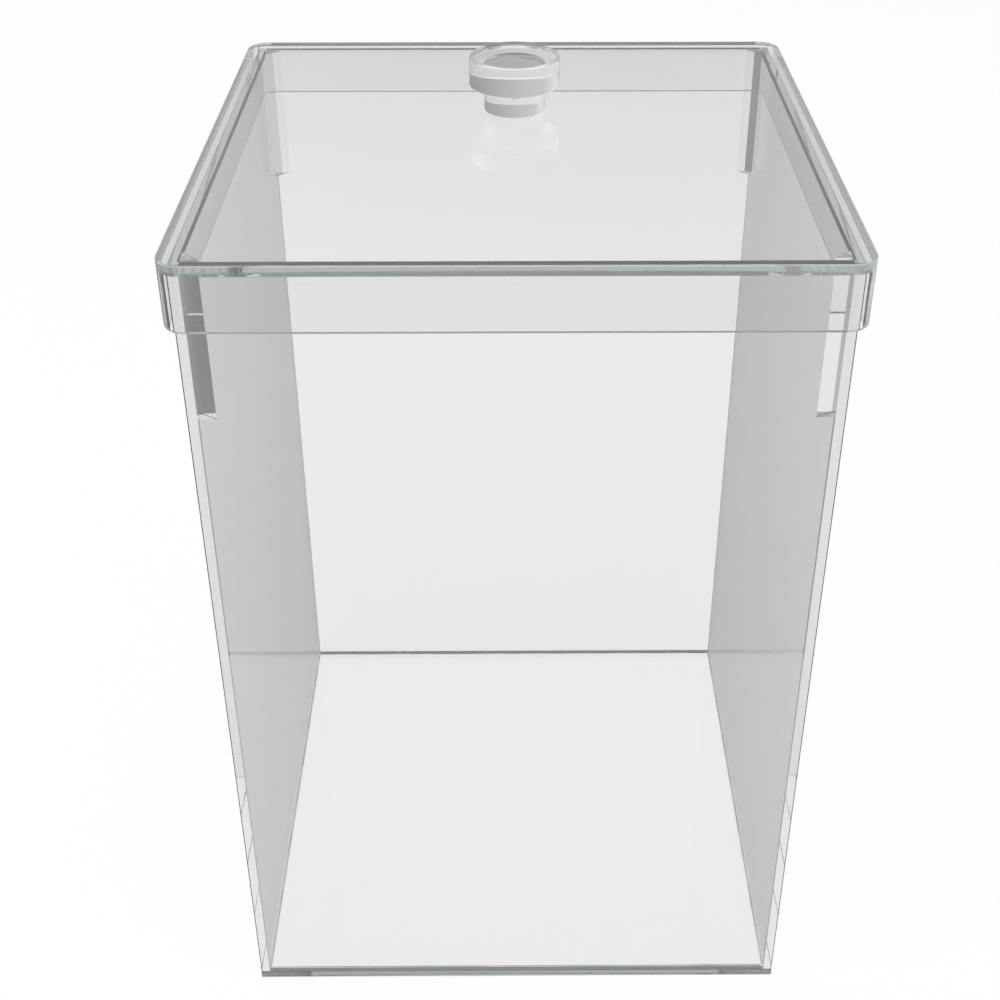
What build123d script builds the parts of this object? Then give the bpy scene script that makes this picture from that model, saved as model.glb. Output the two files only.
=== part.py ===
"""Square clear-acrylic storage bin with a lift-off cap lid and a round pull knob.

Millimetres, +Z up. The origin is at the middle of the footprint, on the face that the bin stands on,
and -Y is the front. The box is cut from one thickness of sheet and cemented: four walls stand on a
square base, and a triangular strip fills the top of each inner corner. The strips stand just above
the rim and carry the cap, which is a rounded top plate with a skirt of four thinner strips that hangs
outside the walls, and a two-piece knob.
"""

from build123d import *
import os

# ---- Driving dimensions -----------------------------------------------------------------------

# Box
outer_width = 300.0           # along X, over the left and right walls
outer_depth = 300.0           # along Y, over the front and back walls
wall_height = 449.5           # walls, from the base plate's top to the rim
sheet = 5.0                   # every wall, the base and the lid plate
rim_chamfer = 1.2             # broken inner edge of the rim, where hands go in

# Corner strips
gusset_leg = 8.0              # each short side of the triangular section
gusset_length = 75.0          # down from the lid's seat
gusset_proud = 0.5            # strips' tops above the rim: the lid rests on them

# Cap lid
skirt_sheet = 3.0             # the skirt alone is of thinner sheet
lid_clearance = 2.6           # between the skirt's inside and the walls, on each side
skirt_drop = 27.2             # skirt below the lid plate
lid_corner_radius = 12.0      # plan radius of the lid's outer corners
skirt_inner_radius = 7.0      # inside the skirt's corners: as wide as clears the box's own
eased_edge = 0.6              # polished rounding of the lid plate's top edge

# Knob
knob_setback = 41.0           # knob axis behind the lid's middle
stem_diameter = 32.0
stem_height = 13.0
cap_diameter = 47.5
cap_height = 15.5
cap_rim_radius = 2.0          # rounding of the cap's upper rim
cap_base_radius = 0.6         # eased lower rim of the cap

# ---- Sizes that follow from them --------------------------------------------------------------

half_width = outer_width / 2
half_depth = outer_depth / 2
inner_half_width = half_width - sheet
inner_half_depth = half_depth - sheet
rim_height = sheet + wall_height
seat_height = rim_height + gusset_proud
skirt_inner_half_width = half_width + lid_clearance
skirt_inner_half_depth = half_depth + lid_clearance
lid_half_width = skirt_inner_half_width + skirt_sheet
lid_half_depth = skirt_inner_half_depth + skirt_sheet
lid_top = seat_height + sheet
stem_top = lid_top + stem_height

os.makedirs("parts", exist_ok=True)


def save(part: Part, node: str) -> None:
    """Label a finished piece and write it to its own STEP file."""
    part.label = node
    export_step(part, f"parts/{node}.step")


# ---- Base plate: the full footprint, so that the walls stand on it ------------------------------

with BuildPart() as base_plate:
    with BuildSketch(Plane.XY):
        Rectangle(outer_width, outer_depth)
    extrude(amount=sheet)
save(base_plate.part, "base_plate")


# ---- Walls: the sides span the full depth, the front and back fit between them ------------------
# One square frustum cuts the inner edge of the rim from all four, so that the cut is mitred in the
# corners.

wall_plane = Plane.XY.offset(sheet)
wall_layout = {
    "front_wall": (0, -(half_depth - sheet / 2), 2 * inner_half_width, sheet),
    "back_wall": (0, half_depth - sheet / 2, 2 * inner_half_width, sheet),
    "left_wall": (-(half_width - sheet / 2), 0, sheet, outer_depth),
    "right_wall": (half_width - sheet / 2, 0, sheet, outer_depth),
}

for node, (centre_x, centre_y, length_x, length_y) in wall_layout.items():
    with BuildPart() as wall:
        with BuildSketch(wall_plane):
            with Locations((centre_x, centre_y)):
                Rectangle(length_x, length_y)
        extrude(amount=wall_height)
        with BuildSketch(Plane.XY.offset(rim_height - rim_chamfer)):
            Rectangle(2 * inner_half_width, 2 * inner_half_depth)
        extrude(amount=rim_chamfer, taper=-45, mode=Mode.SUBTRACT)
    save(wall.part, node)


# ---- Corner strips: right-angled prisms cemented into the top of each inner corner ---------------

gusset_plane = Plane.XY.offset(seat_height - gusset_length)
gusset_corners = {
    "gusset_front_left": (-1, -1),
    "gusset_front_right": (1, -1),
    "gusset_back_left": (-1, 1),
    "gusset_back_right": (1, 1),
}

for node, (side_x, side_y) in gusset_corners.items():
    corner_x = side_x * inner_half_width
    corner_y = side_y * inner_half_depth
    with BuildPart() as gusset:
        with BuildSketch(gusset_plane):
            with BuildLine():
                Polyline(
                    (corner_x, corner_y),
                    (corner_x - side_x * gusset_leg, corner_y),
                    (corner_x, corner_y - side_y * gusset_leg),
                    close=True,
                )
            make_face()
        extrude(amount=gusset_length)
    save(gusset.part, node)


# ---- Lid plate: rounded corners in plan, top edge polished to a small radius ---------------------

with BuildPart() as lid_plate:
    with BuildSketch(Plane.XY.offset(seat_height)):
        RectangleRounded(2 * lid_half_width, 2 * lid_half_depth, lid_corner_radius)
    extrude(amount=sheet)
    fillet(lid_plate.faces().sort_by(Axis.Z)[-1].edges(), eased_edge)
save(lid_plate.part, "lid_plate")


# ---- Skirt: one ring profile, cut at the mitres into four strips ---------------------------------
# The ring's corners are round outside, to follow the lid plate, and rounded less inside, to clear the
# box's corners. Each strip keeps the quarter of the ring between the two diagonals that leave the
# lid's middle.

skirt_plane = Plane.XY.offset(seat_height - skirt_drop)
skirt_quarters = {
    "skirt_front": ((-lid_half_width, -lid_half_depth), (lid_half_width, -lid_half_depth)),
    "skirt_back": ((lid_half_width, lid_half_depth), (-lid_half_width, lid_half_depth)),
    "skirt_left": ((-lid_half_width, lid_half_depth), (-lid_half_width, -lid_half_depth)),
    "skirt_right": ((lid_half_width, -lid_half_depth), (lid_half_width, lid_half_depth)),
}

for node, (start_corner, end_corner) in skirt_quarters.items():
    with BuildPart() as strip:
        with BuildSketch(skirt_plane):
            RectangleRounded(2 * lid_half_width, 2 * lid_half_depth, lid_corner_radius)
            RectangleRounded(
                2 * skirt_inner_half_width,
                2 * skirt_inner_half_depth,
                skirt_inner_radius,
                mode=Mode.SUBTRACT,
            )
            with BuildLine():
                Polyline((0, 0), start_corner, end_corner, close=True)
            make_face(mode=Mode.INTERSECT)
        extrude(amount=skirt_drop)
    save(strip.part, node)


# ---- Knob: a plain stem cemented to the lid, and a wider cap disc on top of it --------------------

with BuildPart() as knob_stem:
    with BuildSketch(Plane.XY.offset(lid_top)):
        with Locations((0, knob_setback)):
            Circle(stem_diameter / 2)
    extrude(amount=stem_height)
save(knob_stem.part, "knob_stem")

with BuildPart() as knob_cap:
    with BuildSketch(Plane.XY.offset(stem_top)):
        with Locations((0, knob_setback)):
            Circle(cap_diameter / 2)
    extrude(amount=cap_height)
    fillet(knob_cap.edges().sort_by(Axis.Z)[-1], cap_rim_radius)
    fillet(knob_cap.edges().sort_by(Axis.Z)[0], cap_base_radius)
save(knob_cap.part, "knob_cap")
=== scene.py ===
"""Dresses the clear acrylic storage bin, its lift-off cap lid and its pull knob.

Every sheet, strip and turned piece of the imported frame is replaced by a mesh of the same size. Bare
edges are eased. Each side of a joint stands back by a hair, so that every sheet bounces light within
itself and its joints show as fine lines.
"""

import logging
import math
from collections.abc import Callable, Iterable, Sequence
from dataclasses import dataclass, field
from enum import Enum

import bmesh
import bpy
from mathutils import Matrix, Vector


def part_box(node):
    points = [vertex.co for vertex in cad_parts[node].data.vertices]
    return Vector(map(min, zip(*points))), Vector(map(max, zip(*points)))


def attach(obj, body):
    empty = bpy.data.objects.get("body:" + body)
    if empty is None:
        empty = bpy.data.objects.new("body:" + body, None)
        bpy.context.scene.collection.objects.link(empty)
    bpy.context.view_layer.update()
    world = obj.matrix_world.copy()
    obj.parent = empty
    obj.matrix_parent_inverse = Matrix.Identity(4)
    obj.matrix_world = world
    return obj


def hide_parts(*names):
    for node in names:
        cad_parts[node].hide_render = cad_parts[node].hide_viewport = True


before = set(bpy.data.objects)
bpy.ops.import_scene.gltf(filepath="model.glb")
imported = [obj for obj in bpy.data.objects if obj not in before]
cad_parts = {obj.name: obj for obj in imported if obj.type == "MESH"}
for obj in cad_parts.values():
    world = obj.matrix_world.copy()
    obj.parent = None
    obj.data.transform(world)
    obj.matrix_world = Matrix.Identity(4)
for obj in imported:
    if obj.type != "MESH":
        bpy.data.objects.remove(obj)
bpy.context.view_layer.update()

log = logging.getLogger("storage_bin")

Point2 = tuple[float, float]
Point3 = tuple[float, float, float]
Colour = tuple[float, float, float, float]
EdgeRule = Callable[[Vector, Vector], float]  # radius of an edge, from the normals beside it
FaceRule = Callable[[Vector, Vector], "Finish"]  # finish of a face, from its normal and its middle
Marks = tuple[bpy.types.NodeSocket, bpy.types.NodeSocket]  # a surface's height in metres and its roughness

MM = 0.001

# Lengths and areas
JOINT_FILM = 0.01 * MM  # how far each side of a joint stands back from it
IN_PLANE = 0.01 * MM  # a point nearer than this to a plane lies in it
SLIVER = 0.003 * MM  # points of a finished piece nearer than this are one
WELD = 0.001 * MM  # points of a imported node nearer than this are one
BROAD = (3 * MM) ** 2  # a face with more area than this stays flat

# Angles between faces
SHARP = math.radians(30)  # more than this makes a sharp edge
COPLANAR = math.radians(1)  # less than this makes one face

# How much of a face's normal lies along an axis
HARDLY = 0.1  # more than this, and it leans that way at all
MORE_THAN_NOT = 0.5  # more than this, and it leans that way by half
FACING = 0.9  # more than this, and it faces that way
SQUARE_ON = 0.999  # more than this, and it faces squarely that way
PARALLEL = 0.99999  # more than this of one normal along another, and the faces are parallel
DIAGONAL = 0.4  # least product of a normal's x and y where it faces across a corner

EASE_STEPS = 3  # facets across a rounded edge

# Counts along a light path, each taken half a step lower so that "more than" holds from it on
ONCE = 0.5
THREE_TIMES = 2.5

# A noise texture's values, which lie between these but for a few
NOISE_LOW = 0.3
NOISE_HIGH = 0.7


class Axis(Enum):
    """The axis that a sheet's thickness lies along."""

    X = 0
    Y = 1
    Z = 2


class Finish(Enum):
    """Which of a sheet's six finishes a face takes."""

    FACE = 0
    EDGE = 1
    ARRIS = 2
    CEMENTED = 3
    END = 4
    FOOT = 5


class Body(Enum):
    """The two bodies that move apart."""

    BIN = "bin"
    LID = "lid"


class Way(Enum):
    """A direction in the room."""

    LEFT = (-1.0, 0.0, 0.0)
    RIGHT = (1.0, 0.0, 0.0)
    BACK = (0.0, 1.0, 0.0)
    UP = (0.0, 0.0, 1.0)


def linear(code: str) -> Colour:
    """Turn an sRGB hex value to a linear colour.

    Args:
        code: six hex digits after a hash.

    Returns:
        Linear red, green and blue, with alpha 1.
    """
    parts = [int(code[i : i + 2], 16) / 255 for i in (1, 3, 5)]
    flat = [c / 12.92 if c <= 0.04045 else ((c + 0.055) / 1.055) ** 2.4 for c in parts]
    return (flat[0], flat[1], flat[2], 1.0)


def grey(level: float) -> Colour:
    """Give a grey of a linear level."""
    return (level, level, level, 1.0)


def per(size_mm: float) -> float:
    """Give the scale of a pattern whose marks are this large."""
    return 1 / (size_mm * MM)


def bare_tree(owner: bpy.types.Material | bpy.types.World) -> bpy.types.NodeTree:
    """Give a node tree, emptied.

    Args:
        owner: the material or the world that the tree belongs to.

    Returns:
        The tree, with no node in it.
    """
    owner.use_nodes = True
    owner.node_tree.nodes.clear()
    return owner.node_tree


def add_node(
    tree: bpy.types.NodeTree, kind: str, feeds: dict[int | str, object] | None = None, **settings: object
) -> bpy.types.Node:
    """Add a node with its settings, and set or link its inputs.

    Args:
        tree: the node tree that it goes into.
        kind: the node's type name.
        feeds: what each input takes, a socket to link or a plain value, by the input's name or number.
        **settings: the node's own properties.

    Returns:
        The new node.
    """
    node = tree.nodes.new(kind)
    for name, value in settings.items():
        setattr(node, name, value)
    for name, value in (feeds or {}).items():
        if isinstance(value, bpy.types.NodeSocket):
            tree.links.new(value, node.inputs[name])
        else:
            node.inputs[name].default_value = value
    return node


# ---- Finishes ---------------------------------------------------------------------------------


@dataclass(frozen=True)
class ClearAcrylic:
    """Polymethyl methacrylate, bare and clear, and what every surface of it shares."""

    name: str
    tint: str  # what the surface keeps of white light that crosses it
    shade: str  # what one surface leaves of a lamp's light, for the shadow
    haze: float  # roughness where nothing has marked it
    ior: float = 1.49
    through: float = 1.0  # share that is clear, the rest is scraped dull and shows its own colour

    def texture(self, tree: bpy.types.NodeTree) -> Marks | None:
        """Draw the surface's marks, of which a bare one has none."""
        return None

    def material(self) -> bpy.types.Material:
        """Make the material once, and hand the same one back after that.

        Returns:
            The finished material.
        """
        made = bpy.data.materials.get(self.name)
        if made is not None:
            return made
        made = bpy.data.materials.new(self.name)
        tree = bare_tree(made)
        feeds: dict[int | str, object] = {
            "Base Color": linear(self.tint),
            "Metallic": 0.0,
            "Roughness": self.haze,
            "IOR": self.ior,
            "Transmission Weight": self.through,
        }
        marks = self.texture(tree)
        if marks is not None:
            height, feeds["Roughness"] = marks
            bump = add_node(tree, "ShaderNodeBump", {"Height": height, "Strength": 1.0, "Distance": 1.0})
            feeds["Normal"] = bump.outputs["Normal"]
        body = add_node(tree, "ShaderNodeBsdfPrincipled", feeds)
        passed = add_node(tree, "ShaderNodeBsdfTransparent", {"Color": linear(self.shade)})
        path = add_node(tree, "ShaderNodeLightPath")
        choice = add_node(
            tree,
            "ShaderNodeMixShader",
            {0: path.outputs["Is Shadow Ray"], 1: body.outputs[0], 2: passed.outputs[0]},
        )
        add_node(tree, "ShaderNodeOutputMaterial", {"Surface": choice.outputs[0]})
        return made


@dataclass(frozen=True)
class CastSheetFace(ClearAcrylic):
    """Cell-cast sheet, polished by the glass that it was cast between.

    The eye gets a mirror-smooth face that is a little wavy in what it mirrors, with a few hairlines
    from wiping that catch the light and are lost elsewhere.
    """

    wave_mm: float = 60.0  # swell left by casting
    wave_height_mm: float = 0.004
    hairline_mm: float = 1.1  # real wiping marks are some 0.02 mm wide, so they are drawn coarser
    hairline_run_mm: float = 70.0
    hairline_turn: Point3 = (0.5, 0.7, 0.4)  # radians that the wiping runs askew
    hairline_from: float = 0.70  # only the noise's few highest values mark, so the hairlines are few
    hairline_full: float = 0.78
    hairline_haze: float = 0.05

    def texture(self, tree: bpy.types.NodeTree) -> Marks:
        """Draw the casting swell and the wiping hairlines.

        Args:
            tree: the material's node tree.

        Returns:
            The sockets that give its height in metres and its roughness.
        """
        place = add_node(tree, "ShaderNodeTexCoord").outputs["Object"]
        swell = add_node(
            tree, "ShaderNodeTexNoise", {"Vector": place, "Scale": per(self.wave_mm), "Detail": 1.0}
        )
        fine, run = per(self.hairline_mm), per(self.hairline_run_mm)
        turned = add_node(
            tree,
            "ShaderNodeMapping",
            {"Vector": place, "Rotation": self.hairline_turn, "Scale": (fine, run, fine)},
            vector_type="POINT",
        )
        lines = add_node(
            tree, "ShaderNodeTexNoise", {"Vector": turned.outputs[0], "Scale": 1.0, "Detail": 0.0}
        )
        marked = add_node(
            tree,
            "ShaderNodeMapRange",
            {
                "Value": lines.outputs[0],
                "From Min": self.hairline_from,
                "From Max": self.hairline_full,
                "To Min": 0.0,
                "To Max": 1.0,
            },
        )
        roughness = add_node(
            tree,
            "ShaderNodeMath",
            {0: marked.outputs[0], 1: self.hairline_haze, 2: self.haze},
            operation="MULTIPLY_ADD",
        )
        height = add_node(
            tree, "ShaderNodeMath", {0: swell.outputs[0], 1: self.wave_height_mm * MM}, operation="MULTIPLY"
        )
        return height.outputs[0], roughness.outputs[0]


@dataclass(frozen=True)
class FlamePolishedEdge(ClearAcrylic):
    """Sawn edge of the sheet, scraped and flame-polished clear.

    The eye gets a bright, faintly blue edge whose saw lines, melted soft, draw what shows in it out
    into long streaks.
    """

    thickness: Axis = Axis.Y
    line_mm: float = 1.6  # saw marks, melted together in pairs
    line_run_mm: float = 45.0
    line_height_mm: float = 0.003
    ripple_mm: float = 9.0  # slow melt of the flame's pass
    ripple_height_mm: float = 0.010
    streak_from: float = 0.35  # where in the saw lines' noise they start to dull the edge
    streak_full: float = 0.75
    streak_haze: float = 0.04

    def texture(self, tree: bpy.types.NodeTree) -> Marks:
        """Draw the saw lines, which run along the edge, and the melt over them.

        Args:
            tree: the material's node tree.

        Returns:
            The sockets that give its height in metres and its roughness.
        """
        place = add_node(tree, "ShaderNodeTexCoord").outputs["Object"]
        along = [per(self.line_mm if axis is self.thickness else self.line_run_mm) for axis in Axis]
        drawn = add_node(
            tree, "ShaderNodeMapping", {"Vector": place, "Scale": tuple(along)}, vector_type="POINT"
        )
        lines = add_node(
            tree, "ShaderNodeTexNoise", {"Vector": drawn.outputs[0], "Scale": 1.0, "Detail": 2.0}
        )
        melt = add_node(
            tree,
            "ShaderNodeTexNoise",
            {"Vector": place, "Scale": per(self.ripple_mm), "Detail": 1.0},
        )
        slow = add_node(
            tree,
            "ShaderNodeMath",
            {0: melt.outputs[0], 1: self.ripple_height_mm * MM},
            operation="MULTIPLY",
        )
        height = add_node(
            tree,
            "ShaderNodeMath",
            {0: lines.outputs[0], 1: self.line_height_mm * MM, 2: slow.outputs[0]},
            operation="MULTIPLY_ADD",
        )
        roughness = add_node(
            tree,
            "ShaderNodeMapRange",
            {
                "Value": lines.outputs[0],
                "From Min": self.streak_from,
                "From Max": self.streak_full,
                "To Min": self.haze,
                "To Max": self.haze + self.streak_haze,
            },
        )
        return height.outputs[0], roughness.outputs[0]


@dataclass(frozen=True)
class GrainedAcrylic(ClearAcrylic):
    """Acrylic with one fine grain, which both lifts its surface and dulls it."""

    grain_mm: float = 2.0
    grain_height_mm: float = 0.004
    grain_detail: float = 2.0

    def haze_range(self) -> Point2:
        """Give its roughness in the grain's hollows and on its crests."""
        return self.haze, self.haze

    def texture(self, tree: bpy.types.NodeTree) -> Marks:
        """Draw the grain.

        Args:
            tree: the material's node tree.

        Returns:
            The sockets that give its height in metres and its roughness.
        """
        place = add_node(tree, "ShaderNodeTexCoord").outputs["Object"]
        grain = add_node(
            tree,
            "ShaderNodeTexNoise",
            {"Vector": place, "Scale": per(self.grain_mm), "Detail": self.grain_detail},
        ).outputs[0]
        height = add_node(
            tree, "ShaderNodeMath", {0: grain, 1: self.grain_height_mm * MM}, operation="MULTIPLY"
        )
        low, high = self.haze_range()
        roughness = add_node(
            tree,
            "ShaderNodeMapRange",
            {"Value": grain, "From Min": NOISE_LOW, "From Max": NOISE_HIGH, "To Min": low, "To Max": high},
        )
        return height.outputs[0], roughness.outputs[0]


@dataclass(frozen=True)
class ScrapedArris(GrainedAcrylic):
    """Corner of a cut edge, broken with a scraper and only half flamed out.

    The eye gets a fine grey line along every bare corner, which is what draws a clear box. The scraped
    dullness is real; the dark colour that its finishes are given is painted shade, standing in for the dark
    outline of a clear edge.
    """

    grain_mm: float = 2.2  # the scraper's chatter marks
    haze_spread: float = 0.5  # share of its haze that the chatter adds and takes

    def haze_range(self) -> Point2:
        """Give its roughness between the chatter marks and on them."""
        return self.haze * (1 - self.haze_spread), self.haze * (1 + self.haze_spread)


@dataclass(frozen=True)
class SawnFootPaintedShade(ScrapedArris):
    """Sawn edge left dull where it stands on another sheet, and only half wetted by the cement.

    The eye gets a dark line along the wall's foot, and a dark rim above it: the foot's near-black colour is
    painted shade, and the light that is guided down the sheet ends in it. The dull sawn foot is real.
    """


@dataclass(frozen=True)
class TurnedRod(ClearAcrylic):
    """Cast rod, turned on a lathe and buffed.

    The eye gets a solid lens of acrylic whose flats keep the faintest rings from the facing cut.
    """

    centre: Point2 = (0.0, 0.0)
    ring_mm: float = 0.9  # real feed is near 0.1 mm, so the rings are drawn coarser
    ring_height_mm: float = 0.0006
    buff_mm: float = 6.0  # cloudy patches that the buffing wheel leaves
    buff_from: float = 0.4
    buff_full: float = 0.8
    buff_haze: float = 0.02

    def texture(self, tree: bpy.types.NodeTree) -> Marks:
        """Draw the rings of the facing cut about the rod's axis.

        Args:
            tree: the material's node tree.

        Returns:
            The sockets that give its height in metres and its roughness.
        """
        place = add_node(tree, "ShaderNodeTexCoord").outputs["Object"]
        centred = add_node(
            tree,
            "ShaderNodeMapping",
            {"Vector": place, "Location": (-self.centre[0], -self.centre[1], 0.0)},
            vector_type="POINT",
        )
        flat = add_node(
            tree,
            "ShaderNodeVectorMath",
            {0: centred.outputs[0], 1: (1.0, 1.0, 0.0)},
            operation="MULTIPLY",
        )
        radius = add_node(tree, "ShaderNodeVectorMath", {0: flat.outputs[0]}, operation="LENGTH")
        turns = add_node(
            tree,
            "ShaderNodeMath",
            {0: radius.outputs["Value"], 1: 2 * math.pi * per(self.ring_mm)},
            operation="MULTIPLY",
        )
        wave = add_node(tree, "ShaderNodeMath", {0: turns.outputs[0]}, operation="SINE")
        height = add_node(
            tree, "ShaderNodeMath", {0: wave.outputs[0], 1: self.ring_height_mm * MM}, operation="MULTIPLY"
        )
        buff = add_node(
            tree, "ShaderNodeTexNoise", {"Vector": place, "Scale": per(self.buff_mm), "Detail": 1.0}
        )
        roughness = add_node(
            tree,
            "ShaderNodeMapRange",
            {
                "Value": buff.outputs[0],
                "From Min": self.buff_from,
                "From Max": self.buff_full,
                "To Min": self.haze,
                "To Max": self.haze + self.buff_haze,
            },
        )
        return height.outputs[0], roughness.outputs[0]


@dataclass(frozen=True)
class SqueezedCement(GrainedAcrylic):
    """Solvent cement that was pressed out of a joint and has set as a clear bead.

    The eye gets a thread, broken into dark and bright, along the foot of each wall.
    """

    grain_mm: float = 1.8  # wrinkles of the skin that sets first
    grain_height_mm: float = 0.02
    grain_detail: float = 1.0
    wrinkle_haze: float = 0.15

    def haze_range(self) -> Point2:
        """Give its roughness between the wrinkles and on them."""
        return self.haze, self.wrinkle_haze


@dataclass(frozen=True)
class CementedFace(ClearAcrylic):
    """Face run together with its neighbour by solvent cement that has drawn back from it in places.

    The eye gets a mirror inside the sheet, with no marks and no colour of its own.
    """


def edge_family(name: str, tint: str, shade: str) -> dict[Axis, FlamePolishedEdge]:
    """Give one flame-polished edge for each way that a sheet's thickness can lie.

    Args:
        name: the start of each material's name.
        tint: what the surface keeps of white light that crosses it.
        shade: what one surface leaves of a lamp's light.

    Returns:
        The finish for each axis.
    """
    return {
        axis: FlamePolishedEdge(f"{name}_{axis.name.lower()}", tint, shade, haze=0.0, thickness=axis)
        for axis in Axis
    }


FACE = CastSheetFace("cast_acrylic_polished_face", tint="#FDFDFD", shade="#F2F4F4", haze=0.0)
LID_FACE = CastSheetFace("cast_acrylic_lid_face", tint="#FFFFFF", shade="#F6F8F8", haze=0.0)
# the faint blue is the acrylic's own tint along its length; the grey in it is painted shade for the grey
# band that the plates' edges show
PLATE_EDGE_TINT_AND_SHADE = FlamePolishedEdge(
    "cast_acrylic_flame_polished_plate_edge", tint="#C2C9C9", shade="#B9C2C4", haze=0.0, thickness=Axis.Z
)
RIM_EDGES = edge_family("cast_acrylic_flame_polished_rim", tint="#E6EAEA", shade="#C6CDCE")
SHORT_EDGES = edge_family("cast_acrylic_flame_polished_short_edge", tint="#F5F4F4", shade="#D9DDDE")
# painted shade: the scraped corners' near-black colour draws the dark outline of each clear edge; their
# dullness is real
ARRIS = ScrapedArris("cast_acrylic_scraped_arris_painted_shade", tint="#2C3234", shade="#A3ABAD", haze=0.10, through=0.6)
CEMENTED = CementedFace("cast_acrylic_solvent_cemented_joint", tint="#FFFFFF", shade="#FFFFFF", haze=0.0)
# painted shade: the foot's near-black colour darkens the line at the wall's foot and the rim seen down the
# sheet
SAWN_FOOT_PAINTED_SHADE = SawnFootPaintedShade("cast_acrylic_sawn_foot_painted_shade", tint="#121415", shade="#E4E8E8", haze=0.10, through=0.25)
# painted shade: the grey on the post's cemented foot darkens the post where it is seen through the cap
POST_FOOT_PAINTED_SHADE = CementedFace("cast_acrylic_rod_cemented_foot", tint="#A4A8A8", shade="#FFFFFF", haze=0.06)
BEAD = SqueezedCement("solvent_cement_squeezed_bead", tint="#A7ACAC", shade="#C9CDCE", haze=0.02)


# ---- Mesh makers ------------------------------------------------------------------------------


def finished(
    name: str, mesh: bpy.types.Mesh, body: Body, nodes: Sequence[str]
) -> bpy.types.Object:
    """Put a mesh in the scene as one piece that stands for its nodes.

    Args:
        name: the piece's name.
        mesh: its mesh, in place, in metres.
        body: the body that it moves with.
        nodes: the nodes of the frame that it replaces.

    Returns:
        The new piece.
    """
    mesh.name = name
    piece = bpy.data.objects.new(name, mesh)
    bpy.context.collection.objects.link(piece)
    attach(piece, body.value)
    if nodes:
        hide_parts(*nodes)
    log.info("%s: %d faces, on %s", name, len(mesh.polygons), body.value)
    return piece


def to_mesh(shape: bmesh.types.BMesh, flats: Iterable[Vector]) -> bpy.types.Mesh:
    """Close a bmesh off as a mesh, with its broad flats flat and its rounds smooth.

    Args:
        shape: the shape, which is freed.
        flats: the directions of its flat faces.

    Returns:
        The mesh.
    """
    bmesh.ops.recalc_face_normals(shape, faces=shape.faces)
    ways = [way.normalized() for way in flats]
    ordered = sorted(shape.faces, key=lambda face: tuple(face.calc_center_median()))
    for place, face in enumerate(ordered):  # rounding leaves them in an order that differs by run
        face.smooth = not any(face.normal.dot(way) > PARALLEL for way in ways)
        face.index = place
    shape.faces.sort()
    mesh = bpy.data.meshes.new("shape")
    shape.to_mesh(mesh)
    shape.free()
    return mesh


def prism(outline: Sequence[Point2], low: float, high: float, ease: EdgeRule) -> bpy.types.Mesh:
    """Raise an outline into a solid and round its bare edges.

    Args:
        outline: corners in plan, either way round.
        low: height of its underside.
        high: height of its top.
        ease: gives each edge's rounding.

    Returns:
        The mesh.
    """
    turn = sum(a[0] * b[1] - b[0] * a[1] for a, b in zip(outline, [*outline[1:], outline[0]]))
    outline = list(outline) if turn > 0 else list(reversed(outline))
    shape = bmesh.new()
    under = [shape.verts.new((x, y, low)) for x, y in outline]
    over = [shape.verts.new((x, y, high)) for x, y in outline]
    shape.faces.new(list(reversed(under)))
    shape.faces.new(over)
    for i in range(len(outline)):
        j = (i + 1) % len(outline)
        shape.faces.new((under[i], under[j], over[j], over[i]))
    return eased(shape, ease)


def from_node(node: str, place: Callable[[Vector], Vector]) -> bmesh.types.BMesh:
    """Copy a flat-sided node of the frame as one clean shell, with its points moved.

    Args:
        node: the node, which is left as it is.
        place: gives each point's new place from its old one.

    Returns:
        The copy, each flat side of it one face.
    """
    shape = bmesh.new()
    shape.from_mesh(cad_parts[node].data)
    bmesh.ops.remove_doubles(shape, verts=shape.verts, dist=WELD)
    bmesh.ops.dissolve_limit(shape, angle_limit=COPLANAR, verts=shape.verts, edges=shape.edges)
    for point in shape.verts:
        point.co = place(point.co)
    return shape


def sharp_edges(shape: bmesh.types.BMesh, ease: EdgeRule) -> dict[float, list[bmesh.types.BMEdge]]:
    """Sort a solid's sharp edges by the rounding that they take.

    Args:
        shape: the solid.
        ease: gives each edge's rounding.

    Returns:
        The edges of each radius, the widest radius first.
    """
    shape.normal_update()
    found: dict[float, list[bmesh.types.BMEdge]] = {}
    for edge in shape.edges:
        one, two = (face.normal for face in edge.link_faces)
        if one.angle(two) > SHARP:
            radius = ease(one, two)
            if radius > 0:
                found.setdefault(radius, []).append(edge)
    return dict(sorted(found.items(), reverse=True))


def eased(shape: bmesh.types.BMesh, ease: EdgeRule) -> bpy.types.Mesh:
    """Round a solid's bare edges, one radius after another.

    Args:
        shape: the solid, which is freed.
        ease: gives each edge's rounding.

    Returns:
        The mesh.
    """
    shape.normal_update()
    flats = [face.normal.copy() for face in shape.faces if face.calc_area() > BROAD]
    for radius in sharp_edges(shape, ease):
        rounded = bmesh.ops.bevel(
            shape,
            geom=sharp_edges(shape, ease).get(radius, []),
            offset=radius,
            offset_type="OFFSET",
            segments=EASE_STEPS,
            profile=0.5,
            affect="EDGES",
            clamp_overlap=True,
        )
        for face in rounded["faces"]:
            face.material_index = Finish.ARRIS.value
    bmesh.ops.remove_doubles(shape, verts=shape.verts, dist=SLIVER)
    bmesh.ops.dissolve_degenerate(shape, edges=shape.edges, dist=SLIVER)
    return to_mesh(shape, flats)


def box_outline(low: Sequence[float], high: Sequence[float]) -> list[Point2]:
    """Give a box's four corners in plan, counter-clockwise."""
    return [(low[0], low[1]), (high[0], low[1]), (high[0], high[1]), (low[0], high[1])]


def arc(centre: Point2, radius: float, start: float, end: float, steps: int) -> list[Point2]:
    """Give points on an arc.

    Args:
        centre: the arc's centre.
        radius: its radius.
        start: angle of the first point, in degrees.
        end: angle of the last point, in degrees.
        steps: how many straight runs it takes.

    Returns:
        The points, the first and last included.
    """
    angles = [math.radians(start + (end - start) * i / steps) for i in range(steps + 1)]
    return [(centre[0] + radius * math.cos(a), centre[1] + radius * math.sin(a)) for a in angles]


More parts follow.
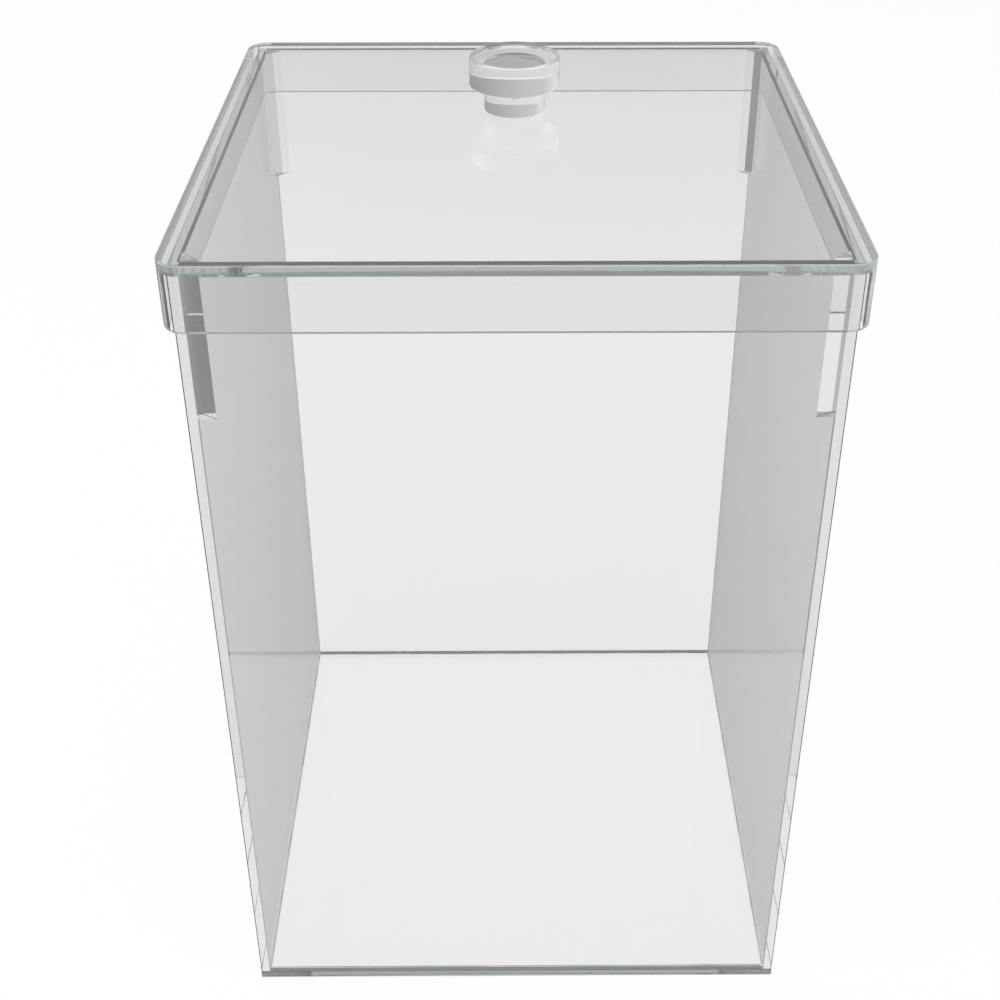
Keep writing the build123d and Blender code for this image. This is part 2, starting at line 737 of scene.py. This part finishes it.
def turned(profile: Sequence[Point2], centre: Point2, sides: int) -> bpy.types.Mesh:
    """Turn a half profile about an upright axis.

    Args:
        profile: radius and height of each point, from the axis underneath to the axis on top.
        centre: where the axis stands.
        sides: how many sides the turn has.

    Returns:
        The mesh.
    """
    shape = bmesh.new()
    rings = []
    for radius, height in profile[1:-1]:
        ring = [
            shape.verts.new(
                (
                    centre[0] + radius * math.cos(2 * math.pi * i / sides),
                    centre[1] + radius * math.sin(2 * math.pi * i / sides),
                    height,
                )
            )
            for i in range(sides)
        ]
        rings.append(ring)
    shape.faces.new(list(reversed(rings[0])))
    shape.faces.new(rings[-1])
    for lower, upper in zip(rings, rings[1:]):
        for i in range(sides):
            j = (i + 1) % sides
            shape.faces.new((lower[i], lower[j], upper[j], upper[i]))
    return to_mesh(shape, [Vector((0, 0, 1)), Vector((0, 0, -1))])


def dress(
    mesh: bpy.types.Mesh,
    edge: FlamePolishedEdge,
    kind: FaceRule,
    face_finish: ClearAcrylic = FACE,
    arris: ClearAcrylic = ARRIS,
) -> None:
    """Give a piece of sheet its finishes, face by face.

    Args:
        mesh: the piece's mesh, whose rounded corners are marked already.
        edge: the finish of its cut edges.
        kind: gives a face's finish from its normal and its middle.
        face_finish: the finish of its cast faces.
        arris: the finish of its rounded corners, by default the scraped one, whose dark colour is painted
            shade.
    """
    ends = SHORT_EDGES[edge.thickness]
    for finish in (face_finish, edge, arris, CEMENTED, ends, SAWN_FOOT_PAINTED_SHADE):
        mesh.materials.append(finish.material())
    for face in mesh.polygons:
        if face.material_index != Finish.ARRIS.value:
            face.material_index = kind(face.normal, face.center).value


def lying(normal: Vector, middle: Vector) -> Finish:
    """Tell a lying sheet's cast faces, above and below, from its cut edges."""
    return Finish.FACE if abs(normal.z) > SQUARE_ON else Finish.EDGE


def span(node: str) -> tuple[Vector, Vector]:
    """Give a node's lowest and highest corners."""
    low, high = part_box(node)
    return Vector(low), Vector(high)


# ---- The bin ----------------------------------------------------------------------------------


@dataclass
class BinBox:
    """The open box: a square base, four walls on it, and a strip in the top of each corner."""

    ease: float = 0.4 * MM  # scraped and flamed corners
    upright_ease: float = 0.6 * MM  # the same on the front's upright corners
    joint_ease: float = 0.2 * MM  # at the foot, above and below the cement
    strip_ease: float = 0.25 * MM
    pieces: list[bpy.types.Object] = field(default_factory=list)

    def build(self) -> list[bpy.types.Object]:
        """Make the base, the walls and the corner strips.

        Returns:
            The pieces made.
        """
        self.make_base()
        for node, name in (
            ("front_wall", "front_sheet"),
            ("back_wall", "back_sheet"),
            ("left_wall", "left_sheet"),
            ("right_wall", "right_sheet"),
        ):
            self.make_wall(node, name)
        for end, fore in (("front", -1), ("back", 1)):
            for side, over in (("left", -1), ("right", 1)):
                self.make_strip(f"gusset_{end}_{side}", f"corner_strip_{end}_{side}", over, fore)
        return self.pieces

    def make_base(self) -> None:
        """Make the base, eased all round."""
        low, high = span("base_plate")

        def ease(one: Vector, two: Vector) -> float:
            """Give the rounding of an edge of the base, finest beside the walls' cement."""
            return self.joint_ease if max(one.z, two.z) > MORE_THAN_NOT else self.ease

        mesh = prism(box_outline(low, high), low.z, high.z, ease)
        dress(mesh, PLATE_EDGE_TINT_AND_SHADE, lying)
        self.pieces.append(finished("base_sheet", mesh, Body.BIN, ["base_plate"]))

    def make_wall(self, node: str, name: str) -> None:
        """Make a wall, its foot in the base's cement and its rim and outer corners eased.

        Args:
            node: the wall's node.
            name: the new piece's name.
        """
        low, high = span(node)
        thickness = Axis.X if high.x - low.x < high.y - low.y else Axis.Y
        run = 1 - thickness.value  # the axis that the wall runs along
        butted = thickness is Axis.Y  # the front and back stand between the sides
        outward = 1 if (low + high)[thickness.value] > 0 else -1

        def place(point: Vector) -> Vector:
            """Stand the wall's foot, and its ends where it is butted, back from the joint.

            Args:
                point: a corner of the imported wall.

            Returns:
                Where the corner goes.
            """
            moved = point.copy()
            if abs(point.z - low.z) < IN_PLANE:
                moved.z += JOINT_FILM
            if butted and min(abs(point[run] - low[run]), abs(point[run] - high[run])) < IN_PLANE:
                moved[run] -= math.copysign(JOINT_FILM, point[run])
            return moved

        def ease(one: Vector, two: Vector) -> float:
            """Give the rounding of an edge of the wall, none in a joint or beside the rim's chamfer.

            Args:
                one: the face's normal on one side of the edge.
                two: the face's normal on its other side.

            Returns:
                The radius.
            """
            if any(HARDLY < way.z < FACING for way in (one, two)):
                return 0.0
            outer = max(way[thickness.value] * outward for way in (one, two)) > MORE_THAN_NOT
            at_end = not butted and max(abs(one[run]), abs(two[run])) > MORE_THAN_NOT
            if min(one.z, two.z) < -MORE_THAN_NOT:
                return self.joint_ease if outer or at_end else 0.0
            if max(one.z, two.z) > MORE_THAN_NOT:
                return self.ease if outer or at_end else 0.0
            at_front = min(one.y, two.y) < -MORE_THAN_NOT
            return self.upright_ease if outer and at_end and at_front else 0.0

        def kind(normal: Vector, middle: Vector) -> Finish:
            """Tell a wall's cast faces, its rim, its foot and its ends, bare or butted.

            Args:
                normal: the face's normal.
                middle: the face's middle, which is not used.

            Returns:
                The finish that the face takes.
            """
            if abs(normal[thickness.value]) > SQUARE_ON:
                return Finish.FACE
            if normal.z > HARDLY:
                return Finish.EDGE
            if normal.z < -FACING:
                return Finish.FOOT if butted else Finish.CEMENTED
            return Finish.CEMENTED if butted else Finish.END

        mesh = eased(from_node(node, place), ease)
        dress(mesh, RIM_EDGES[thickness], kind)
        self.pieces.append(finished(name, mesh, Body.BIN, [node]))

    def make_strip(self, node: str, name: str, over: int, fore: int) -> None:
        """Make a triangular strip, its two legs against the walls.

        Args:
            node: the strip's node.
            name: the new piece's name.
            over: -1 on the left and 1 on the right.
            fore: -1 at the front and 1 at the back.
        """
        low, high = span(node)
        corner = Vector((high.x if over > 0 else low.x, high.y if fore > 0 else low.y))
        leg = high.x - low.x
        set_back = corner - Vector((over, fore)) * JOINT_FILM
        outline = [
            (set_back.x, set_back.y),
            (corner.x - over * leg, set_back.y),
            (set_back.x, corner.y - fore * leg),
        ]

        def ease(one: Vector, two: Vector) -> float:
            """Give the rounding of an edge of the strip, none on its legs.

            Args:
                one: the face's normal on one side of the edge.
                two: the face's normal on its other side.

            Returns:
                The radius.
            """
            level = two if abs(one.z) > MORE_THAN_NOT else one
            at_end = max(abs(one.z), abs(two.z)) > MORE_THAN_NOT
            return self.strip_ease if at_end and abs(level.x * level.y) > DIAGONAL else 0.0

        def kind(normal: Vector, middle: Vector) -> Finish:
            """Tell a strip's legs, its broad bare side and its two ends.

            Args:
                normal: the face's normal.
                middle: the face's middle, which is not used.

            Returns:
                The finish that the face takes.
            """
            if normal.x * over > FACING or normal.y * fore > FACING:
                return Finish.CEMENTED
            return Finish.FACE if abs(normal.z) < MORE_THAN_NOT else Finish.END

        mesh = prism(outline, low.z, high.z - 2 * JOINT_FILM, ease)
        dress(mesh, PLATE_EDGE_TINT_AND_SHADE, kind)
        self.pieces.append(finished(name, mesh, Body.BIN, [node]))


@dataclass
class CementBead:
    """The thread of cement that was pressed out along the foot of the walls, inside the box.

    A node tree makes it: the foot's outline becomes a path, and a round section whose size wanders
    is drawn along it.
    """

    radius: float = 0.36 * MM
    clearance: float = 0.02 * MM
    step: float = 3.0 * MM
    thinnest: float = 0.6  # share of the radius where the bead is thinnest
    swell: float = 16.0 * MM  # length over which the bead thickens and thins
    seed: float = 7.0
    sides: int = 12

    def build(self) -> list[bpy.types.Object]:
        """Make the bead and turn it to a plain mesh.

        Returns:
            The piece made.
        """
        holder = bpy.data.objects.new("bead_path", self.path())
        bpy.context.collection.objects.link(holder)
        modifier = holder.modifiers.new("bead", "NODES")
        tree = self.tree()
        modifier.node_group = tree
        for name, value in (
            ("Bead radius", self.radius),
            ("Step", self.step),
            ("Thinnest share", self.thinnest),
            ("Swell length", self.swell),
            ("Seed", self.seed),
            ("Finish", BEAD.material()),
        ):
            modifier[tree.interface.items_tree[name].identifier] = value
        graph = bpy.context.evaluated_depsgraph_get()
        mesh = bpy.data.meshes.new_from_object(holder.evaluated_get(graph))
        holder.modifiers.clear()
        bpy.data.objects.remove(holder)
        return [finished("cement_bead_foot", mesh, Body.BIN, [])]

    def path(self) -> bpy.types.Mesh:
        """Draw the foot's outline as a closed line just off the walls and the base.

        Returns:
            The line, as a mesh with edges only.
        """
        off = self.radius + self.clearance
        floor = span("base_plate")[1].z + off
        across = span("right_wall")[0].x - off
        along = span("back_wall")[0].y - off
        corners = [(x, y, floor) for x, y in box_outline((-across, -along), (across, along))]
        mesh = bpy.data.meshes.new("bead_path")
        mesh.from_pydata(corners, [(0, 1), (1, 2), (2, 3), (3, 0)], [])
        return mesh

    def tree(self) -> bpy.types.NodeTree:
        """Build the node tree that draws the bead along a line.

        Returns:
            The tree, with an input for each size, the seed and the finish.
        """
        tree = bpy.data.node_groups.new("cement_bead", "GeometryNodeTree")
        for name, kind in (
            ("Path", "NodeSocketGeometry"),
            ("Bead radius", "NodeSocketFloat"),
            ("Step", "NodeSocketFloat"),
            ("Thinnest share", "NodeSocketFloat"),
            ("Swell length", "NodeSocketFloat"),
            ("Seed", "NodeSocketFloat"),
            ("Finish", "NodeSocketMaterial"),
        ):
            tree.interface.new_socket(name, in_out="INPUT", socket_type=kind)
        tree.interface.new_socket("Bead", in_out="OUTPUT", socket_type="NodeSocketGeometry")
        given = add_node(tree, "NodeGroupInput").outputs
        line = add_node(tree, "GeometryNodeMeshToCurve", {"Mesh": given["Path"]})
        stepped = add_node(
            tree,
            "GeometryNodeResampleCurve",
            {"Curve": line.outputs[0], "Length": given["Step"]},
            mode="LENGTH",
        )
        place = add_node(tree, "GeometryNodeInputPosition")
        scale = add_node(tree, "ShaderNodeMath", {0: 1.0, 1: given["Swell length"]}, operation="DIVIDE")
        wander = add_node(
            tree,
            "ShaderNodeTexNoise",
            {"Vector": place.outputs[0], "W": given["Seed"], "Scale": scale.outputs[0], "Detail": 1.0},
            noise_dimensions="4D",
        )
        share = add_node(
            tree,
            "ShaderNodeMapRange",
            {
                "Value": wander.outputs[0],
                "From Min": NOISE_LOW,
                "From Max": NOISE_HIGH,
                "To Min": given["Thinnest share"],
                "To Max": 1.0,
            },
        )
        section = add_node(
            tree,
            "GeometryNodeCurvePrimitiveCircle",
            {"Resolution": self.sides, "Radius": given["Bead radius"]},
            mode="RADIUS",
        )
        drawn = add_node(
            tree,
            "GeometryNodeCurveToMesh",
            {"Curve": stepped.outputs[0], "Profile Curve": section.outputs[0], "Scale": share.outputs[0]},
        )
        smooth = add_node(tree, "GeometryNodeSetShadeSmooth", {"Geometry": drawn.outputs[0]})
        real = add_node(tree, "GeometryNodeRealizeInstances", {"Geometry": smooth.outputs[0]})
        coated = add_node(
            tree, "GeometryNodeSetMaterial", {"Geometry": real.outputs[0], "Material": given["Finish"]}
        )
        add_node(tree, "NodeGroupOutput", {"Bead": coated.outputs[0]})
        return tree


# ---- The lid ----------------------------------------------------------------------------------


@dataclass
class CapLid:
    """The cap: a rounded plate over the rim, with four mitred strips hanging round the walls."""

    edge_ease: float = 0.6 * MM  # polished round of the plate's upper edge
    ease: float = 0.35 * MM
    skirt_sheet: float = 3.0 * MM
    skirt_inner_radius: float = 7.0 * MM
    arc_steps: int = 32
    bend_share: float = 0.72  # a strip's broad side and bends face outwards by more than this
    mitre_slack: float = 1.0 * MM  # how near a mitre's plane passes to the lid's middle
    pieces: list[bpy.types.Object] = field(default_factory=list)

    @property
    def corner(self) -> float:
        """Measure the plan radius of the cap's corners, where its front edge stops being straight.

        Returns:
            The radius.
        """
        low, high = span("lid_plate")
        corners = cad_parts["lid_plate"].data.vertices
        return high.x - max(point.co.x for point in corners if point.co.y - low.y < IN_PLANE)

    def build(self) -> list[bpy.types.Object]:
        """Make the plate and the four strips of the skirt.

        Returns:
            The pieces made.
        """
        self.make_plate()
        for quarter, side in enumerate(("front", "right", "back", "left")):
            self.make_strip(side, quarter)
        return self.pieces

    def make_plate(self) -> None:
        """Make the plate with its rounded corners and its polished upper edge."""
        low, high = span("lid_plate")
        inset = self.corner
        outline: list[Point2] = []
        for x, y, start in (
            (high.x - inset, high.y - inset, 0),
            (low.x + inset, high.y - inset, 90),
            (low.x + inset, low.y + inset, 180),
            (high.x - inset, low.y + inset, 270),
        ):
            outline += arc((x, y), inset, start, start + 90, self.arc_steps)

        def ease(one: Vector, two: Vector) -> float:
            """Give the rounding of an edge of the plate, which is bare on top only."""
            return self.edge_ease if max(one.z, two.z) > MORE_THAN_NOT else 0.0

        mesh = prism(outline, low.z, high.z, ease)
        dress(mesh, PLATE_EDGE_TINT_AND_SHADE, lying, face_finish=LID_FACE, arris=LID_FACE)
        self.pieces.append(finished("lid_sheet", mesh, Body.LID, ["lid_plate"]))

    def make_strip(self, side: str, quarter: int) -> None:
        """Make one strip of the skirt, mitred at both ends.

        Args:
            side: which side it hangs on.
            quarter: how many quarter turns it stands from the front.
        """
        outer = span("lid_plate")[1].x
        low, high = span(f"skirt_{side}")
        thickness = Axis.X if side in ("left", "right") else Axis.Y
        half = outer - self.corner
        inner_half = outer - self.skirt_sheet - self.skirt_inner_radius
        steps = self.arc_steps // 2
        right = arc((half, -half), self.corner, 270, 315, steps)
        right += arc((inner_half, -inner_half), self.skirt_inner_radius, 315, 270, steps)
        for end in (steps, steps + 1):
            right[end] = (right[end][0] - JOINT_FILM, right[end][1])
        plan = right + [(-x, y) for x, y in reversed(right)]
        turn = quarter * math.pi / 2
        c, s = math.cos(turn), math.sin(turn)
        outline = [(x * c - y * s, x * s + y * c) for x, y in plan]
        out = Vector((s, -c, 0.0))

        def ease(one: Vector, two: Vector) -> float:
            """Give the rounding of an edge of the strip, which is bare underneath and outside only.

            Args:
                one: the face's normal on one side of the edge.
                two: the face's normal on its other side.

            Returns:
                The radius.
            """
            level = two if one.z < -MORE_THAN_NOT else one
            under = min(one.z, two.z) < -MORE_THAN_NOT
            return self.ease if under and level.dot(out) > self.bend_share else 0.0

        def kind(normal: Vector, middle: Vector) -> Finish:
            """Tell a strip's top and mitres, its foot, and its broad sides with their bends.

            Args:
                normal: the face's normal.
                middle: the face's middle.

            Returns:
                The finish that the face takes.
            """
            offset = abs(normal.x * middle.x + normal.y * middle.y)
            mitred = offset < self.mitre_slack and abs(normal.x * normal.y) > DIAGONAL
            if normal.z > FACING or mitred:
                return Finish.CEMENTED
            if normal.z < -FACING:
                return Finish.EDGE if thickness is Axis.X else Finish.ARRIS
            return Finish.FACE

        mesh = prism(outline, low.z, high.z - JOINT_FILM, ease)
        dress(mesh, RIM_EDGES[thickness], kind)
        name, node = f"skirt_strip_{side}", f"skirt_{side}"
        self.pieces.append(finished(name, mesh, Body.LID, [node]))


@dataclass
class PullKnob:
    """The knob: a short post and a wide cap, both turned from rod."""

    rim: float = 2.0 * MM
    base_rim: float = 0.6 * MM
    post_rim: float = 0.12 * MM  # the post's rims are barely broken
    under_steps: int = 8  # runs round a lower rim
    over_steps: int = 12  # runs round an upper rim
    sides: int = 192
    pieces: list[bpy.types.Object] = field(default_factory=list)

    def build(self) -> list[bpy.types.Object]:
        """Make the post and the cap.

        Returns:
            The pieces made.
        """
        self.make_piece("knob_stem", "knob_post", self.post_rim, self.post_rim)
        self.make_piece("knob_cap", "knob_disc", self.base_rim, self.rim)
        return self.pieces

    def make_piece(self, node: str, name: str, under: float, over: float) -> None:
        """Turn one piece of the knob.

        Args:
            node: the piece's node.
            name: the new piece's name.
            under: rounding of its lower rim.
            over: rounding of its upper rim.
        """
        low, high = span(node)
        centre = ((low.x + high.x) / 2, (low.y + high.y) / 2)
        radius = (high.x - low.x) / 2
        foot = low.z + 2 * JOINT_FILM
        profile = [(0.0, foot)]
        profile += arc((radius - under, foot + under), under, -90, 0, self.under_steps)
        profile += arc((radius - over, high.z - over), over, 0, 90, self.over_steps)
        profile.append((0.0, high.z))
        mesh = turned(profile, centre, self.sides)
        rod = TurnedRod("cast_acrylic_turned_rod", tint="#FBFCFC", shade="#D2D8D9", haze=0.0, centre=centre)
        mesh.materials.append(rod.material())
        if node == "knob_stem":
            # the post's underside takes the grey that is painted shade
            mesh.materials.append(POST_FOOT_PAINTED_SHADE.material())
            for face in mesh.polygons:
                face.material_index = int(face.normal.z < -SQUARE_ON)
        self.pieces.append(finished(name, mesh, Body.LID, [node]))


# ---- Studio -----------------------------------------------------------------------------------


@dataclass(frozen=True)
class StudioCamera:
    """The camera, from its measured place, tilt and focal length."""

    place_mm: Point3 = (-4.104, -754.593, 738.465)
    down: float = 33.180  # degrees below level
    right: float = 0.356  # degrees off straight ahead
    focal_px: float = 1542.54
    middle_px: Point2 = (516.10, 489.10)
    frame_px: float = 1000.0
    sensor_mm: float = 36.0

    def build(self) -> None:
        """Put the camera in the scene."""
        lens = bpy.data.cameras.new("studio_camera")
        lens.sensor_width = self.sensor_mm
        lens.lens = self.focal_px / self.frame_px * self.sensor_mm
        lens.shift_x = (self.frame_px / 2 - self.middle_px[0]) / self.frame_px
        lens.shift_y = (self.middle_px[1] - self.frame_px / 2) / self.frame_px
        camera = bpy.data.objects.new("studio_camera", lens)
        camera.location = [v * MM for v in self.place_mm]
        camera.rotation_euler = (math.radians(90 - self.down), 0.0, math.radians(-self.right))
        bpy.context.collection.objects.link(camera)
        bpy.context.scene.camera = camera


@dataclass(frozen=True)
class SoftBox:
    """A soft lamp that faces the middle of the bin, and that polished pieces don't mirror."""

    name: str
    place: Point3
    width: float
    height: float
    watts: float
    aim: Point3 = (0.0, 0.0, 0.25)

    def build(self) -> None:
        """Put the lamp in the scene."""
        lamp = bpy.data.lights.new(self.name, "AREA")
        lamp.shape, lamp.size, lamp.size_y, lamp.energy = "RECTANGLE", self.width, self.height, self.watts
        holder = bpy.data.objects.new(self.name, lamp)
        holder.location = self.place
        holder.visible_glossy = False
        holder.visible_transmission = False
        way = Vector(self.aim) - Vector(self.place)
        holder.rotation_euler = way.to_track_quat("-Z", "Y").to_euler()
        bpy.context.collection.objects.link(holder)


@dataclass(frozen=True)
class MattPaper:
    """Matt white paper, as it comes off the roll.

    The eye gets plain white with the bin's soft shadow on it. Light that a polished piece has mirrored
    passes through it, and comes from the room below.
    """

    name: str = "matt_paper_floor"
    tint: str = "#F4F4F3"
    see_share: float = 0.90  # how much of it is plain white to the eye, the rest takes the shadow

    def material(self) -> bpy.types.Material:
        """Make the paper's material.

        Returns:
            The finished material.
        """
        made = bpy.data.materials.new(self.name)
        tree = bare_tree(made)
        path = add_node(tree, "ShaderNodeLightPath")
        matt = add_node(tree, "ShaderNodeBsdfDiffuse", {"Color": linear(self.tint)})
        white = add_node(tree, "ShaderNodeEmission", {"Color": grey(1.0), "Strength": 1.0})
        seen = add_node(
            tree,
            "ShaderNodeMath",
            {0: path.outputs["Is Camera Ray"], 1: path.outputs["Is Transmission Ray"]},
            operation="MAXIMUM",
        )
        share = add_node(
            tree, "ShaderNodeMath", {0: seen.outputs[0], 1: self.see_share}, operation="MULTIPLY"
        )
        plain = add_node(
            tree, "ShaderNodeMixShader", {0: share.outputs[0], 1: matt.outputs[0], 2: white.outputs[0]}
        )
        clear = add_node(tree, "ShaderNodeBsdfTransparent")
        mirrored = add_node(
            tree, "ShaderNodeMath", {0: path.outputs["Glossy Depth"], 1: ONCE}, operation="GREATER_THAN"
        )
        both = add_node(
            tree, "ShaderNodeMixShader", {0: mirrored.outputs[0], 1: plain.outputs[0], 2: clear.outputs[0]}
        )
        add_node(tree, "ShaderNodeOutputMaterial", {"Surface": both.outputs[0]})
        return made


@dataclass(frozen=True)
class Shading:
    """How a level changes round the room as a direction leans one way."""

    towards: Way
    stops: tuple[Point2, ...]  # place and level of each, from 0, straight away, to 1, straight towards

    def level(self, tree: bpy.types.NodeTree, way: bpy.types.NodeSocket) -> bpy.types.NodeSocket:
        """Draw it.

        Args:
            tree: the room's node tree.
            way: the socket that gives the direction.

        Returns:
            The socket that gives the level, as a grey.
        """
        lean = add_node(
            tree, "ShaderNodeVectorMath", {0: way, 1: self.towards.value}, operation="DOT_PRODUCT"
        )
        place = add_node(  # from -1 to 1, to 0 to 1
            tree,
            "ShaderNodeMath",
            {0: lean.outputs["Value"], 1: 0.5, 2: 0.5},
            operation="MULTIPLY_ADD",
        )
        node = add_node(tree, "ShaderNodeValToRGB", {0: place.outputs[0]})
        band = node.color_ramp
        band.interpolation = "LINEAR"
        while len(band.elements) < len(self.stops):
            band.elements.new(0.5)
        for element, (at, level) in zip(band.elements, self.stops):
            element.position = at
            element.color = grey(level)
        return node.outputs["Color"]


@dataclass(frozen=True)
class StudioRoom:
    """The room: white to the eye and through clear pieces, and soft greys to what mirrors it.

    Light that was mirrored once or more comes from the greys, which are lighter above for light that
    has been inside a sheet. Matt surfaces are lit by one plain level.
    """

    plain_level: float = 0.62
    ceiling_level: float = 0.95
    above: Shading = Shading(
        Way.LEFT, ((0.0, 0.25), (0.5, 0.34), (0.75, 0.38), (0.875, 0.85), (1.0, 0.95))
    )
    guided_above: Shading = Shading(
        Way.LEFT, ((0.0, 0.25), (0.42, 0.48), (0.58, 0.56), (0.75, 0.60), (1.0, 0.95))
    )
    across: Shading = Shading(
        Way.RIGHT, ((0.0, 0.25), (0.3, 0.32), (0.5, 0.40), (0.65, 0.46), (0.9, 1.0))
    )
    behind: Shading = Shading(Way.BACK, ((0.06, 0.07), (0.4, 0.6), (0.5, 1.0)))
    guided_below: Shading = Shading(Way.BACK, ((0.06, 0.70), (0.3, 0.30), (0.5, 0.40), (0.9, 0.86)))
    ceiling: Shading = Shading(
        Way.UP, ((0.0, 0.0), (0.705, 0.0), (0.73, 0.10), (0.85, 0.92), (1.0, 1.0))
    )
    horizon: Shading = Shading(Way.UP, ((0.48, 0.0), (0.52, 1.0)))

    def build(self) -> None:
        """Put the room in the scene."""
        world = bpy.data.worlds.new("studio_room")
        tree = bare_tree(world)
        path = add_node(tree, "ShaderNodeLightPath")
        way = add_node(tree, "ShaderNodeTexCoord").outputs["Generated"]
        mirrored, inside, deep = (
            add_node(tree, "ShaderNodeMath", {0: path.outputs[depth], 1: count}, operation="GREATER_THAN")
            for depth, count in (
                ("Glossy Depth", ONCE),
                ("Transmission Depth", ONCE),
                ("Glossy Depth", THREE_TIMES),
            )
        )
        near = add_node(
            tree,
            "ShaderNodeVectorMath",
            {0: self.across.level(tree, way), 1: self.behind.level(tree, way)},
            operation="MULTIPLY",
        )
        above, guided_above, guided_below, ceiling, horizon = (
            shading.level(tree, way)
            for shading in (self.above, self.guided_above, self.guided_below, self.ceiling, self.horizon)
        )
        upper = add_node(
            tree,
            "ShaderNodeMix",
            {"Factor": inside.outputs[0], "A": above, "B": guided_above},
            data_type="RGBA",
        )
        lower = add_node(
            tree,
            "ShaderNodeMix",
            {"Factor": deep.outputs[0], "A": near.outputs[0], "B": guided_below},
            data_type="RGBA",
        )
        roofed = add_node(
            tree,
            "ShaderNodeMix",
            {"Factor": ceiling, "A": upper.outputs["Result"], "B": grey(self.ceiling_level)},
            data_type="RGBA",
        )
        surround = add_node(
            tree,
            "ShaderNodeMix",
            {"Factor": horizon, "A": lower.outputs["Result"], "B": roofed.outputs["Result"]},
            data_type="RGBA",
        )
        lit = add_node(
            tree,
            "ShaderNodeMix",
            {"Factor": mirrored.outputs[0], "A": grey(self.plain_level), "B": surround.outputs["Result"]},
            data_type="RGBA",
        )
        straight = add_node(
            tree,
            "ShaderNodeMath",
            {0: path.outputs["Is Transmission Ray"], 1: mirrored.outputs[0]},
            operation="SUBTRACT",
        )
        seen = add_node(
            tree,
            "ShaderNodeMath",
            {0: path.outputs["Is Camera Ray"], 1: straight.outputs[0]},
            operation="MAXIMUM",
        )
        shown = add_node(
            tree,
            "ShaderNodeMix",
            {"Factor": seen.outputs[0], "A": lit.outputs["Result"], "B": grey(1.0)},
            data_type="RGBA",
        )
        glow = add_node(tree, "ShaderNodeBackground", {"Color": shown.outputs["Result"], "Strength": 1.0})
        add_node(tree, "ShaderNodeOutputWorld", {"Surface": glow.outputs[0]})
        bpy.context.scene.world = world


@dataclass(frozen=True)
class Studio:
    """A plain pale floor in a plain pale room, with soft lamps."""

    floor_half: float = 9.0
    floor_drop: float = 0.1 * MM  # air left under the base
    paper: MattPaper = MattPaper()
    room: StudioRoom = StudioRoom()
    lamps: tuple[SoftBox, ...] = (
        SoftBox("key_softbox", place=(-2.3, -0.9, 2.3), width=1.4, height=1.4, watts=46.0),
        SoftBox("fill_softbox", place=(2.4, -1.3, 1.6), width=0.9, height=1.6, watts=14.0),
        SoftBox("top_softbox", place=(0.2, -0.4, 3.0), width=1.6, height=1.6, watts=18.0),
    )

    def build(self) -> None:
        """Make the floor, the room and the lamps."""
        self.make_floor()
        self.room.build()
        for lamp in self.lamps:
            lamp.build()

    def make_floor(self) -> None:
        """Lay the paper as a broad floor, just under the base."""
        shape = bmesh.new()
        bmesh.ops.create_grid(shape, x_segments=2, y_segments=2, size=self.floor_half)
        bmesh.ops.translate(shape, verts=shape.verts, vec=(0.0, 0.0, -self.floor_drop))
        mesh = bpy.data.meshes.new("studio_floor")
        shape.to_mesh(mesh)
        shape.free()
        mesh.materials.append(self.paper.material())
        floor = bpy.data.objects.new("studio_floor", mesh)
        bpy.context.collection.objects.link(floor)


def set_light_paths() -> None:
    """Let rays cross every wall of the stacked clear pieces, and show colours as they are."""
    scene = bpy.context.scene
    scene.view_settings.view_transform = "Standard"
    scene.cycles.max_bounces = 192
    scene.cycles.transmission_bounces = 64
    scene.cycles.glossy_bounces = 160
    scene.cycles.transparent_max_bounces = 64


def main() -> None:
    """Build the camera, the studio and every piece of the bin."""
    logging.basicConfig(level=logging.INFO, format="%(message)s")
    set_light_paths()
    StudioCamera().build()
    Studio().build()
    made: list[bpy.types.Object] = []
    for part in (BinBox(), CementBead(), CapLid(), PullKnob()):
        made += part.build()
    log.info("%d pieces", len(made))


if __name__ == "__main__":
    main()
